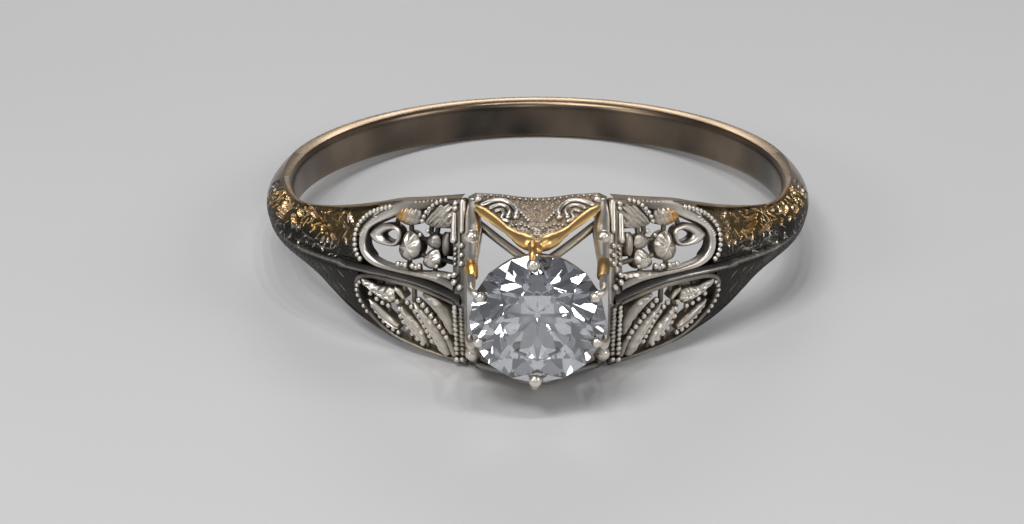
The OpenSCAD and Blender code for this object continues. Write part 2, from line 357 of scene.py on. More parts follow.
def band(M, side, path, hwid, H=0.10, th=0.32, n=140, lift=0.02, wear=0.7, m=9, groove=0.0, power=3.0):
    """A flat-topped wire or strip that follows the surface."""
    uv = spline(chart(path), n)
    T = np.gradient(uv, axis=0)
    T /= np.linalg.norm(T, axis=1, keepdims=True)
    Nv = np.stack([-T[:, 1], T[:, 0]], -1)
    t = np.linspace(0, 1, n)
    W = pchip(list(zip(np.linspace(0, 1, len(hwid)), hwid)))(t) if not np.isscalar(hwid) else np.full(n, hwid)
    s = np.linspace(-1, 1, m)
    UV = uv[:, None, :] + Nv[:, None, :] * (s[None, :] * W[:, None])[..., None]
    UV[..., 1] = np.clip(UV[..., 1], -VF, VF)
    prof = (1 - np.abs(s) ** power) - groove * np.exp(-(s / 0.3) ** 2)
    h = lift + H * prof[None, :] * np.ones((n, 1))
    top, bot = to3(side, UV, h), to3(side, UV, np.full_like(h, -th))
    if side < 0:
        top, bot = top[:, ::-1], bot[:, ::-1]
    wr = np.interp(t, np.linspace(0, 1, len(wear)), wear) if not np.isscalar(wear) else np.full(n, wear)
    M.slab(top, bot, wr[:, None] * (0.4 + 0.6 * prof[None, :] * np.ones((n, 1))), 0.0)
    return M


def beads(M, side, path, r=0.062, gap=0.125, lift=0.10, wear=1.0, taper=None):
    uv = spline(chart(path), 400)
    P = to3(side, uv, np.full(400, lift))
    L = length_of(P)
    k = max(2, int(round(L / gap)))
    s = np.concatenate([[0], np.cumsum(np.linalg.norm(np.diff(P, axis=0), axis=1))])
    at = (np.arange(k) + 0.5) / k * L
    C = np.stack([np.interp(at, s, P[:, c]) for c in range(3)], -1)
    rr = r if taper is None else r * np.interp(at / L, [0, 1], taper)
    M.balls(C, rr, wear=wear)
    return M




def pad(M, side, outline, centre, H=0.18, th=0.35, lobes=0, lobe=0.0, dent=0.0, n=96, m=12, wear=0.7, gold=None, turn=0.0,
        ribs=None):
    """A domed petal or pad filled inward from a closed outline."""
    O = spline(chart(outline), n, True)
    c = chart([centre])[0]
    s = 1 - np.linspace(0, 1, m + 1)[:-1] ** 1.3
    UV = c + (O[None, :, :] - c) * s[:, None, None]
    ph = np.linspace(0, 2 * math.pi, n, endpoint=False)
    dome = (1 - s ** 2.6)[:, None] * np.ones((1, n))
    h = H * dome
    if lobes:
        h = h - lobe * (0.5 + 0.5 * np.cos(lobes * ph + turn))[None, :] * (s * (1 - s ** 3))[:, None] * 2.2
    if ribs is not None:
        k, amp, ang = ribs
        q = (UV[..., 0] - c[0]) * math.cos(ang) + (UV[..., 1] - c[1]) * math.sin(ang)
        h = h - amp * (0.5 + 0.5 * np.cos(2 * math.pi * k * q)) * np.minimum(1, (1 - s) * 4)[:, None]
    h = h - dent * np.exp(-((1 - s) * 0 + s)[:, None] ** 2 / 0.08)
    top, bot = to3(side, UV, h), to3(side, UV, np.full_like(h, -th))
    tc = to3(side, c[None], np.array([H - dent - (ribs[1] if ribs else 0)]))
    bc = to3(side, c[None], np.array([-th]))
    V = np.concatenate([top.reshape(-1, 3), bot.reshape(-1, 3), tc, bc])
    N = m * n
    i = np.arange(n)
    j = (i + 1) % n
    F = np.concatenate([grid_faces(m, n, wrap_m=True), grid_faces(m, n, N, wrap_m=True, flip=True),
                        np.stack([i, j, j + N, i + N], -1)])
    T = np.concatenate([np.stack([(m - 1) * n + i, (m - 1) * n + j, np.full(n, 2 * N)], -1),
                        np.stack([N + (m - 1) * n + j, N + (m - 1) * n + i, np.full(n, 2 * N + 1)], -1)])
    w = np.concatenate([(wear * (0.3 + 0.7 * dome)).ravel(), np.zeros(N), [wear], [0]])
    g = None
    if gold is not None:
        a = UV[..., 0] / UA
        gg = (smooth(a, gold[0], gold[1]) * gold[2]).ravel()
        g = np.concatenate([gg, gg, gg[-1:], gg[-1:]])
    M.add(V, F, T, wear=w, gold=g)
    return M


def strut(M, side, path, r=0.085, depth=-0.16, wear=0.1):
    """A small round web wire under the surface that ties two carved pieces together."""
    uv = spline(chart(path), 24)
    P = to3(side, uv, np.full(24, depth))
    M.tube(P, r, seg=10, wear=wear, up=normal(side, uv[:, 0] / UA, uv[:, 1] / VF))
    return M


def spots(M, side, pts, r=0.09, lift=0.08, wear=1.0):
    uv = chart(pts)
    P = to3(side, uv, np.full(len(uv), lift))
    M.balls(P, r, wear=wear, lat=10, lon=16)
    return M

# ------------------------------------------------------------------ materials
def new_mat(name):
    m = bpy.data.materials.new(name)
    m.use_nodes = True
    nt = m.node_tree
    nt.nodes.clear()
    out = nt.nodes.new("ShaderNodeOutputMaterial")
    b = nt.nodes.new("ShaderNodeBsdfPrincipled")
    nt.links.new(b.outputs[0], out.inputs[0])
    return m, nt, b


def metal(name, light, dark, tint=(0.84, 0.47, 0.13), tint_dark=(0.30, 0.17, 0.05), rough=(0.14, 0.34), grain=1400.0,
          bump=0.25, blotch=300.0, blotch_amount=0.0, blotch_col=(0.60, 0.45, 0.26), ao=0.0004, lo=0.2, hi=0.95):
    """Precious metal between a near-black colour, painted shade (partly tarnish) that the ambient-occlusion mask and
    low wear put into recesses, and a light colour on clean, worn high points and painted highlights, tinted to gold
    where the gold attribute says so, with fine grain and pits."""
    m, nt, b = new_mat(name)
    N, lk = nt.nodes.new, nt.links.new
    b.inputs["Metallic"].default_value = 1.0
    tc = N("ShaderNodeTexCoord")

    def attr(nm):
        x = N("ShaderNodeAttribute")
        x.attribute_name = nm
        return x.outputs["Fac"]

    def noise(scale, detail):
        x = N("ShaderNodeTexNoise")
        x.inputs["Scale"].default_value = scale
        x.inputs["Detail"].default_value = detail
        lk(tc.outputs["Object"], x.inputs["Vector"])
        return x.outputs["Fac"]

    def rng(src, a, c, d=0.0, e=1.0):
        x = N("ShaderNodeMapRange")
        x.inputs["From Min"].default_value = a
        x.inputs["From Max"].default_value = c
        x.inputs["To Min"].default_value = d
        x.inputs["To Max"].default_value = e
        lk(src, x.inputs["Value"])
        return x.outputs[0]

    def math2(op, p, q, r=None):
        x = N("ShaderNodeMath")
        x.operation = op
        for i, v in enumerate((p, q, r)):
            if v is None:
                continue
            if isinstance(v, (int, float)):
                x.inputs[i].default_value = v
            else:
                lk(v, x.inputs[i])
        return x.outputs[0]

    def mix(f, p, q):
        x = N("ShaderNodeMix")
        x.data_type = "RGBA"
        lk(f, x.inputs[0])
        for i, v in ((6, p), (7, q)):
            if isinstance(v, tuple):
                x.inputs[i].default_value = (*v, 1)
            else:
                lk(v, x.inputs[i])
        return x.outputs[2]

    fine, wide = noise(grain, 5), noise(blotch, 3)
    occ = N("ShaderNodeAmbientOcclusion")
    occ.inputs["Distance"].default_value = ao
    occ.samples = 4
    # painted shade: ambient occlusion and low wear pull the base colour towards the near-black colour; high wear
    # lightens it, partly as painted highlight
    worn_and_lit = rng(math2("MULTIPLY_ADD", math2("ADD", fine, wide), 0.35, attr("wear")), lo + 0.25, hi + 0.25)
    mask = math2("MULTIPLY", rng(occ.outputs["AO"], 0.25, 0.85), worn_and_lit)
    white = mix(mask, dark, light)
    if blotch_amount:
        white = mix(math2("MULTIPLY", rng(wide, 0.45, 0.62), blotch_amount), white, blotch_col)
    yellow = mix(mask, tint_dark, tint)
    lk(mix(attr("gold"), white, yellow), b.inputs["Base Color"])
    lk(math2("MULTIPLY_ADD", wide, 0.10, rng(mask, 0, 1, rough[1], rough[0])), b.inputs["Roughness"])
    bp = N("ShaderNodeBump")
    bp.inputs["Strength"].default_value = bump
    bp.inputs["Distance"].default_value = 0.00002
    lk(fine, bp.inputs["Height"])
    lk(bp.outputs[0], b.inputs["Normal"])
    return m


# the second colour of each metal is painted shade for recesses and faces turned from the light, partly tarnish
WHITE = metal("filigree_metal", (0.90, 0.85, 0.77), (0.075, 0.065, 0.055), rough=(0.24, 0.40), blotch_amount=0.28,
              blotch_col=(0.70, 0.60, 0.46))
ENGRAVED = metal("engraved_metal", (0.60, 0.55, 0.47), (0.045, 0.042, 0.038), tint=(1.0, 0.62, 0.24),
                 tint_dark=(0.13, 0.088, 0.030), rough=(0.16, 0.40), bump=0.4, blotch=700.0)
DARK = metal("dark_metal", (0.34, 0.32, 0.30), (0.05, 0.045, 0.04), rough=(0.14, 0.30), bump=0.15)
SHANK = metal("band_metal", (0.40, 0.34, 0.285), (0.045, 0.042, 0.038), tint=(0.74, 0.46, 0.20), rough=(0.13, 0.26), bump=0.12, blotch=150.0,
              blotch_amount=0.55, blotch_col=(0.36, 0.27, 0.19), grain=700.0)
GOLD = metal("gold_metal", (1.0, 0.66, 0.27), (0.52, 0.28, 0.08), rough=(0.26, 0.40), bump=0.2, blotch=500.0,
             blotch_amount=0.3, blotch_col=(0.90, 0.45, 0.10), tint=(1.0, 0.62, 0.20))
PLATE = metal("gallery_metal", (0.80, 0.68, 0.54), (0.12, 0.09, 0.065), rough=(0.26, 0.45), grain=2200.0, bump=0.6,
              blotch=400.0, blotch_amount=0.6, blotch_col=(0.50, 0.36, 0.24))

DIAMOND, _nt, _b = new_mat("diamond")
# painted shade: a grey-blue body colour darkens the clear stone as if it showed dark surroundings
_b.inputs["Base Color"].default_value = (0.70, 0.725, 0.77, 1)
_b.inputs["Roughness"].default_value = 0.0
_b.inputs["IOR"].default_value = 2.417
_b.inputs["Transmission Weight"].default_value = 1.0
_n = _nt.nodes.new("ShaderNodeTexNoise")
_n.inputs["Scale"].default_value = 900
_t = _nt.nodes.new("ShaderNodeTexCoord")
_nt.links.new(_t.outputs["Object"], _n.inputs["Vector"])
_m = _nt.nodes.new("ShaderNodeMapRange")
_m.inputs["From Min"].default_value = 0.55
_m.inputs["From Max"].default_value = 0.8
_m.inputs["To Max"].default_value = 0.04
_nt.links.new(_n.outputs["Fac"], _m.inputs["Value"])
_nt.links.new(_m.outputs[0], _b.inputs["Roughness"])

# ------------------------------------------------------------------ shank and engraved shoulders
SEAM = 90.0     # the solder seam between shoulder and band, in degrees from the head


def nm(side):
    return "right" if side > 0 else "left"


def shank():
    n, m = 300, 49
    a = np.linspace(SEAM, 360 - SEAM, n)
    s = np.sin(np.linspace(-1, 1, m) * math.pi / 2)
    A, F = np.meshgrid(a, s, indexing="ij")
    fold = np.where(A > 180, 360 - A, A)
    sd = np.where(A > 180, -1.0, 1.0)
    P = base(1, fold, F)
    P[..., 0] *= sd
    inner = BORE + 0.13 * np.abs(F) ** 7
    bot = np.stack([np.sin(np.radians(A)) * inner, -np.cos(np.radians(A)) * inner, F * (hw(fold) - 0.02)], -1)
    M = Mesh()
    w = 0.46 + smooth(fold, 90, 110) * (0.10 + 0.1 * (1 - np.abs(F))) + 0.08 * np.sin(A * 0.35) * smooth(fold, 90, 100)
    # painted shade: low wear on the inner wall darkens it, its rounded edges less so
    w2 = 0.06 + 0.18 * smooth(np.abs(F), 0.72, 0.98) * smooth(F, -0.5, 0.5) + 0.06 * np.sin(A * 0.27)
    M.slab(P, bot, w, w2, gold=0.26 * smooth(np.abs(F), 0.72, 1.0) * np.ones_like(A))
    M.build("shank_visual", SHANK, ["shank"], sharp=40)


# hand-engraved cuts on the upper shoulder faces: a path of (angle, height) points, half-width, depth
CUTS = {
    -1: [([(43.9, .88), (41.9, .70)], .105, .10), ([(48.6, .93), (47, .85), (46.4, .79)], .05, .06),
         ([(45.7, .95), (46.2, .84)], .05, .06), ([(44.7, .64), (43.1, .61)], .065, .07), ([(43.6, .45), (42.9, .34)], .05, .05),
         ([(52, .58), (50.3, .53)], .09, .10), ([(50, .62), (48.4, .55)], .08, .09), ([(50.4, .27), (49.9, .39)], .09, .10),
         ([(47.9, .46), (46.1, .37)], .09, .10), ([(48.4, .30), (48.8, .39)], .07, .08), ([(49.5, .46), (49.3, .46)], .06, .06),
         ([(55.3, .53), (54, .60), (52.6, .63)], .04, .05), ([(54.8, .41), (53.8, .50)], .045, .05),
         ([(53.6, .74), (52.2, .68), (51.2, .69)], .04, .05), ([(57.2, .58), (56, .66), (55.8, .78)], .04, .05),
         ([(63.9, .82), (60.2, .71)], .085, .10), ([(64.3, .67), (60.9, .52)], .085, .10), ([(63.2, .95), (57.8, .84)], .09, .10),
         ([(59, .86), (54.6, .74)], .08, .09), ([(65.6, .84), (67.6, .98)], .06, .06), ([(68.8, .84), (70.2, .98)], .05, .06),
         ([(67.6, .76), (71.4, .76), (75, .90)], .11, .11), ([(73.2, .60), (70.6, .63), (67.2, .60)], .06, .07),
         ([(71.5, .47), (66.4, .49)], .05, .06), ([(76.8, .83), (75.4, .62), (76.2, .45)], .05, .06),
         ([(79.6, .92), (78, .72), (78.8, .50)], .055, .06), ([(82.2, .74), (80.6, .80)], .08, .09),
         ([(82.8, .93), (84.8, .70), (83.2, .46)], .05, .06), ([(85.8, .90), (87.2, .66), (85.8, .42)], .05, .06),
         ([(88.6, .84), (89.6, .62)], .05, .05), ([(81.6, .55), (80.4, .46)], .06, .06),
         ([(45.6, .72), (47.6, .72), (49.4, .76)], .035, .045), ([(51, .90), (52.8, .84), (53.2, .94)], .035, .045),
         ([(46.2, .22), (48, .18), (50, .19)], .03, .04), ([(52.6, .26), (55, .30), (57, .36)], .03, .04),
         ([(58.4, .42), (60.2, .40)], .035, .04), ([(64.6, .36), (63.4, .26)], .035, .04)],
    1: [([(43.9, .90), (41.9, .77)], .105, .10), ([(44.2, .61), (42.2, .57)], .07, .08), ([(43.9, .74), (42.1, .68)], .05, .06),
        ([(45.4, .95), (45.4, .83)], .04, .05), ([(47, .96), (46.4, .84)], .04, .05), ([(49.2, .96), (49, .86)], .04, .05),
        ([(52.9, .94), (51.9, .91)], .09, .09),
        ([(50.2, .80), (52.4, .88), (55.2, .91), (57.4, .87), (58.2, .76), (58, .62), (56, .50), (53.4, .42)], .05, .06),
        ([(50.2, .70), (52.5, .74), (55.4, .80)], .07, .08), ([(49.6, .58), (51.8, .60), (53.9, .66)], .075, .09),
        ([(48.4, .50), (50, .49), (51.8, .52)], .065, .08), ([(61.4, .86), (62.8, .92), (64.4, .95)], .12, .11),
        ([(69.6, .97), (70.4, .88), (68.7, .78), (65.4, .68)], .06, .07), ([(67, .94), (66.2, .84), (64, .74)], .05, .06),
        ([(60.6, .94), (59.8, .80), (61.2, .66)], .045, .05), ([(78.8, .86), (75.6, .66)], .055, .06),
        ([(86.6, .66), (82.2, .62)], .085, .09), ([(85.9, .48), (82.4, .44)], .06, .07), ([(82.4, .95), (79.6, .80)], .06, .07),
        ([(89.6, .80), (86.6, .88)], .06, .06), ([(73, .94), (72.4, .78), (70.4, .66)], .05, .06),
        ([(76, .94), (75.2, .80)], .05, .06), ([(73.6, .58), (70, .54)], .05, .06), ([(79, .58), (76, .50)], .06, .06),
        ([(52.4, .38), (55, .45), (57.6, .52), (59.2, .62)], .045, .055),
        ([(46.5, .48), (47.4, .51), (48.4, .45), (48.8, .36), (50.2, .38)], .045, .055),
        ([(42.9, .52), (42.9, .45)], .085, .08), ([(43, .37), (43, .31)], .075, .07), ([(45, .37), (44.1, .33)], .09, .09),
        ([(62.4, .54), (60.6, .46)], .05, .06), ([(66.8, .56), (64.4, .48)], .05, .06),
        ([(46.2, .70), (48, .78)], .045, .05), ([(46.4, .20), (48.4, .17), (50.4, .19)], .03, .04),
        ([(53, .24), (55.4, .28)], .03, .04), ([(58, .36), (56.8, .26)], .035, .04)],
}
LOW = [([(57.2, .14), (56, -.02)], .045, .05), ([(64, .16), (65.6, -.06)], .045, .05), ([(60.2, .22), (61, .04)], .04, .05),
       ([(68.4, .22), (69.4, .02)], .04, .05), ([(72.6, .20), (73.4, .04)], .04, .04), ([(76.6, .22), (77.2, .04)], .035, .04),
       ([(45.2, -.20), (43.9, -.33)], .055, .07), ([(47.8, -.22), (47.2, -.30)], .05, .06), ([(50.6, -.30), (49.2, -.42)], .05, .05),
       ([(46.6, -.50), (44.6, -.66)], .05, .05), ([(53.6, -.34), (52.4, -.48)], .05, .05), ([(49.4, -.64), (47.6, -.78)], .05, .05),
       ([(56.8, -.40), (55.4, -.56)], .05, .05), ([(52.8, -.66), (51, -.80)], .045, .05), ([(60.2, -.44), (58.8, -.62)], .045, .05),
       ([(64, -.46), (62.6, -.64)], .045, .05), ([(67.8, -.48), (66.6, -.66)], .04, .05), ([(72, -.50), (70.6, -.68)], .04, .04)]


for _side in (-1, 1):
    _r = np.random.default_rng(21 + _side)
    for _k in range(120):
        _a = 42.8 + 46 * _r.random() ** 1.15
        _f = 0.10 + 0.84 * _r.random()
        _l, _t = 0.8 + 1.5 * _r.random(), (0.55 if _r.random() < 0.6 else -0.7) + 0.5 * _r.standard_normal()
        _p = [(_a, _f), (min(_a + _l * math.cos(_t), 89.5), float(np.clip(_f + _l * math.sin(_t) * 0.09, 0.06, 0.95)))]
        CUTS[_side].append((_p, 0.022 + 0.022 * _r.random(), 0.03 + 0.025 * _r.random()))


def engraving(side, a, f):
    """Depth in mm of the engraver's cuts at angle a and height f, and the depth of the wriggle-cut ground between them.
    """
    u, v = a * UA, f * hw(a)
    d = np.zeros_like(u)
    for path, w, dep in CUTS[side] + LOW:
        p = np.array(path, float)
        q = np.stack([p[:, 0] * UA, p[:, 1] * hw(p[:, 0])], -1)
        q = spline(q, max(3, int(6 * len(q)))) if len(q) > 2 else q
        sel = (u > q[:, 0].min() - w * 1.5) & (u < q[:, 0].max() + w * 1.5)
        if not sel.any():
            continue
        us, vs = u[sel], v[sel]
        L = length_of(q)
        best = np.full(us.shape, 9.0)
        run = 0.0
        for k in range(len(q) - 1):
            e = q[k + 1] - q[k]
            l = float(np.hypot(*e)) + 1e-9
            t = np.clip(((us - q[k, 0]) * e[0] + (vs - q[k, 1]) * e[1]) / l ** 2, 0, 1)
            g = (run + t * l) / L
            ww = w * (0.30 + 0.70 * np.sin(math.pi * np.clip(0.14 + g * 0.78, 0, 1)))
            r = np.hypot(us - q[k, 0] - e[0] * t, vs - q[k, 1] - e[1] * t) / ww
            best = np.minimum(best, r)
            run += l
        d[sel] = np.maximum(d[sel], dep * np.clip(1 - best, 0, 1) ** 0.8)
    # wriggle-cut ground between the leaves
    g = 0.016 * np.maximum(0, np.sin(u * 34 + 2.2 * np.sin(v * 11)) * np.sin(v * 30 + 1.8 * np.sin(u * 9)))
    return d, g * smooth(a, 88.5, 81)


# where the solid shoulder starts behind the pierced gallery, as an angle for each height
START = pchip([(-1, 30), (-0.97, 33), (-0.92, 35.6), (-0.86, 37.2), (-0.78, 38.5), (-0.66, 39.7), (-0.55, 40.4), (-0.43, 40.6),
               (-0.31, 40.2), (-0.20, 39.2), (-0.10, 39.6), (0, 40.6), (0.10, 38.4), (0.22, 39.8), (0.36, 40.6), (0.52, 40.85),
               (0.67, 40.5), (0.79, 39.5), (0.88, 37.9), (0.93, 35.6), (0.955, 32.5), (0.968, 27), (0.976, 16.6), (1, 16)])


def shoulder(side):
    M = Mesh()
    n, m = 560, 211
    s = np.linspace(-1, 1, m)
    s = 0.35 * s + 0.65 * np.sin(s * math.pi / 2)
    T, F = np.meshgrid(np.linspace(0, 1, n), s, indexing="ij")
    A0 = START(F)
    A = A0 + (SEAM - A0) * T
    d, g = engraving(side, A, F)
    edge = smooth(np.abs(F), 1.0, 0.95) * smooth(A, SEAM, SEAM - 0.6) * smooth(A, A0, A0 + 0.5)
    h = -(d + g) * edge
    h = h + 0.035 * np.exp(-(F * hw(A) / 0.08) ** 2) * smooth(A, 66, 50)          # ridge line
    h = h - 0.05 * np.exp(-((np.abs(F) * hw(A) - 0.20) / 0.05) ** 2) * smooth(A, 62, 50)   # groove beside it
    rim = hw(A) * (1 - np.abs(F))
    h = h - 0.035 * np.exp(-((rim - 0.13) / 0.028) ** 2) * smooth(A, 80, 70)      # line cut along the rim
    top = base(side, A, F) + normal(side, A, F) * h[..., None]
    t = np.radians(A)
    inner = BORE + 0.13 * np.abs(F) ** 7 * smooth(A, 44, 60)
    bot = np.stack([side * inner * np.sin(t), -inner * np.cos(t), F * (hw(A) - 0.02)], -1)
    cut = np.clip(d / 0.03, 0, 1)
    w = 0.06 + 7.0 * g + 0.95 * cut + 0.35 * np.exp(-(F * hw(A) / 0.07) ** 2) * smooth(A, 70, 50)
    w = w + 0.25 * np.exp(-(rim / 0.05) ** 2)
    # painted shade: the lower face below the ridge gets half the wear, so it renders darker
    w = np.where(F < -0.05, w * 0.5, w)
    w = w + smooth(A, 78, 89) * (0.46 - w)
    # the yellow tint on the upper face is partly a gold wash and partly a painted warm reflection
    lim = np.interp(A, [42, 48, 60, 70, 82, 90], [0.36, 0.36, 0.48, 0.44, 0.22, 0.1])
    gold = smooth(F, lim - 0.10, lim + 0.10) * smooth(A, 90, 80) * (0.80 + 0.2 * np.sin(A * 0.9) * np.sin(F * 7))
    gold = np.clip(gold * (1 - 0.35 * (1 - smooth(A, 43, 52))), 0, 1)
    # towards the plain band the colour settles to the band's own
    gold = gold + (0.26 * smooth(np.abs(F), 0.72, 1.0) - gold) * smooth(A, 82, 88)
    if side < 0:
        top, bot, w, gold = top[:, ::-1], bot[:, ::-1], w[:, ::-1], gold[:, ::-1]
        A, F = A[:, ::-1], F[:, ::-1]
    # painted shade: low wear darkens the inner wall, its rounded edges less so
    w2 = 0.06 + 0.18 * smooth(np.abs(F), 0.72, 0.98) * smooth(F, -0.5, 0.5) + 0.06 * np.sin(A * 0.27)
    M.slab(top, bot, w, w2, gold=gold)
    o = M.build(f"shoulder_{nm(side)}_visual", ENGRAVED, [f"shoulder_{nm(side)}"], sharp=60)
    # inner face and the last degrees before the plain band take the band's metal
    o.data.materials.append(SHANK)
    k = (n - 1) * (m - 1)
    idx = np.zeros(len(o.data.polygons), np.int32)
    idx[:k] = (A[:-1, :-1] > 84.5).ravel()
    idx[k:2 * k] = 1
    o.data.polygons.foreach_set("material_index", idx)


def ridge(side):
    """Knife-edge rib over the pierced gallery."""
    M = Mesh()
    a = np.linspace(13.4, 44.5, 150)
    s = np.linspace(-1, 1, 15)
    A, S = np.meshgrid(a, s, indexing="ij")
    P = base(side, A, S * 0.16 / hw(A))
    er = np.stack([side * np.sin(np.radians(A)), -np.cos(np.radians(A)), 0 * A], -1)
    h = 0.03 + 0.13 * (1 - np.abs(S) ** 1.4) * smooth(A, 44.5, 41)
    w = 0.25 + 0.6 * (1 - np.abs(S)) ** 2
    top, bot = P + er * h[..., None], P - er * 0.45
    if side < 0:
        top, bot = top[:, ::-1], bot[:, ::-1]
    M.slab(top, bot, w, 0.05)
    M.build(f"ridge_{nm(side)}_visual", DARK, [f"ridge_{nm(side)}"], sharp=60)


# ------------------------------------------------------------------ upper gallery
def upper(side):
    M = Mesh()
    arch = [(15, .10), (19, .115), (22, .11), (26, .085), (31, .085), (34.7, .12), (37.2, .21), (38.4, .34), (38.7, .50),
            (38.1, .64), (36.5, .735), (34.5, .80), (32.2, .86), (29.5, .92), (24, .95), (15, .96)]
    # painted highlight: wear rises to 1 where the arch turns near angles 37 to 39, so it renders brighter
    band(M, side, arch, [.11, .12, .11, .08, .075, .10, .13, .14, .145, .16, .20, .22, .18, .12, .085, .08], H=0.07,
         n=260, power=4, groove=0.0, wear=[.55, .5, .5, .5, .5, .6, .85, 1, 1, 1, .85, .5, .2, .1, .08, .08])
    M.gold = 0.45
    band(M, side, [(16.0, .968), (22, .97), (30, .968), (35.5, .965)], .085, H=0.02, th=0.42, n=120, lift=0.0, wear=0.16)
    M.gold = 0.0
    beads(M, side, [(38.0, .13), (39.3, .22), (40.1, .36), (40.35, .52), (40.0, .66), (39.0, .77), (37.4, .855), (35.4, .90),
                    (33.4, .92), (31.6, .93)], r=0.088, gap=0.172, lift=0.10)
    beads(M, side, [(26.5, .975), (23, .98), (19, .98)], r=0.05, gap=0.15, lift=0.06, wear=0.6)
    # serrated bright cut just inside the beads at the shank end
    for k in range(9):
        t = k / 8
        a0, f0 = 39.6 - 3.4 * t ** 1.5, 0.54 + 0.28 * t
        leaf(M, side, [(a0, f0), (a0 - 0.9, f0 - 0.03)], [.03, .055, .03], H=0.05, th=0.05, lift=0.05, n=14, m=7, vein=0, wear=1.0)
    M.build(f"arch_upper_{nm(side)}_visual", WHITE, [f"arch_upper_{nm(side)}"], sharp=50)

    M = Mesh()
    annulus(M, side,
            [(37.1, .54), (36.2, .465), (35, .42), (33.4, .395), (31.6, .385), (30.2, .40), (29.2, .46), (28.9, .54),
             (29.2, .62), (30.4, .675), (32.2, .705), (34, .70), (35.6, .65), (36.5, .60)],
            [(33.7, .54), (33, .495), (32.1, .47), (31.2, .458), (30.5, .47), (30, .51), (29.9, .55), (30.1, .585),
             (30.7, .605), (31.4, .61), (32.2, .60), (33, .58)], H=0.13, wear=0.85)
    # large rounded petal
    pad(M, side, [(29.5, .36), (29.1, .46), (28.5, .55), (27.6, .61), (26.2, .60), (24.9, .54), (24.1, .43), (24.9, .31),
                  (26.1, .25), (27.4, .235), (28.8, .27)], (26.8, .42), H=0.24, lobes=6, lobe=0.075, turn=2.2, dent=0.03,
        wear=0.85)
    # petals toward the head
    pad(M, side, [(23.3, .235), (23, .32), (22.2, .39), (20.8, .44), (19.6, .41), (19.1, .31), (20, .235), (21.6, .20)],
        (21.2, .32), H=0.20, lobes=4, lobe=0.07, turn=0.6, dent=0.03, wear=0.85)
    pad(M, side, [(22.9, .50), (22.4, .575), (21.2, .61), (20, .58), (19.4, .50), (20, .445), (21.6, .44)],
        (21.1, .525), H=0.14, lobes=2, lobe=0.03, wear=0.45)
    pad(M, side, [(19.2, .60), (18.4, .64), (17.6, .60), (17.4, .44), (18.2, .38), (19, .44)], (18.3, .52), H=0.10,
        wear=0.35)
    spots(M, side, [(29.2, .175), (27.4, .175), (25.6, .185), (23.9, .20)], r=0.10, lift=0.06)
    spots(M, side, [(28.3, .18), (24.7, .175), (22.6, .63), (24.3, .58), (19.6, .25)], r=0.075, lift=0.06)
    pad(M, side, [(28.2, .085), (25.4, .125), (22.4, .165), (19.6, .20), (17.4, .205), (17.2, .12), (20, .085), (24, .072)],
        (21.6, .125), H=0.13, wear=1.0, ribs=(4.0, 0.02, 0.0))
    for p in ([(29.4, .45), (28.6, .46)], [(27.4, .26), (27.2, .12)], [(24.2, .33), (22.8, .30)], [(36.6, .54), (38.8, .54)],
              [(27.2, .58), (27.6, .74)], [(24.4, .52), (22.6, .53)], [(19.4, .33), (16.4, .33)], [(31, .69), (30.6, .80)],
              [(21.2, .59), (21, .72)], [(20.2, .42), (20.4, .46)], [(21, .24), (21, .14)], [(18, .50), (16.2, .50)],
              [(24.8, .19), (24.6, .10)], [(22.6, .63), (22.4, .76)], [(22.7, .62), (21.2, .55)]):
        strut(M, side, p)
    M.build(f"bloom_upper_{nm(side)}_visual", WHITE, [f"bloom_upper_{nm(side)}"], sharp=50)

    # rim petal with a worn, gold-coloured half, and the large rim leaf
    M = Mesh()
    pad(M, side, [(30.9, .80), (30.4, .87), (29.2, .925), (27, .93), (25.2, .90), (24.6, .82), (24.9, .73), (26.4, .685),
                  (28.2, .69), (30, .74)], (27.8, .81), H=0.20, ribs=(5.6, 0.07, 0.25), wear=0.85,
        gold=(26.0, 29.6, 0.95))
    M.build(f"spray_upper_{nm(side)}_visual", WHITE, [f"spray_upper_{nm(side)}"], sharp=50)
    M = Mesh()
    pad(M, side, [(23.6, .72), (23.3, .80), (22.4, .88), (21, .945), (19, .965), (17.3, .95), (17.2, .82), (17.6, .70),
                  (19.4, .675), (21.6, .68)], (20, .81), H=0.20, ribs=(6.5, 0.09, 0.9), wear=0.9)
    beads(M, side, [(24.0, .72), (23.4, .83), (22.3, .91), (20.8, .965), (18.6, .985)], r=0.08, gap=0.165, lift=0.12)
    M.build(f"rim_leaf_upper_{nm(side)}", WHITE, [], sharp=50)


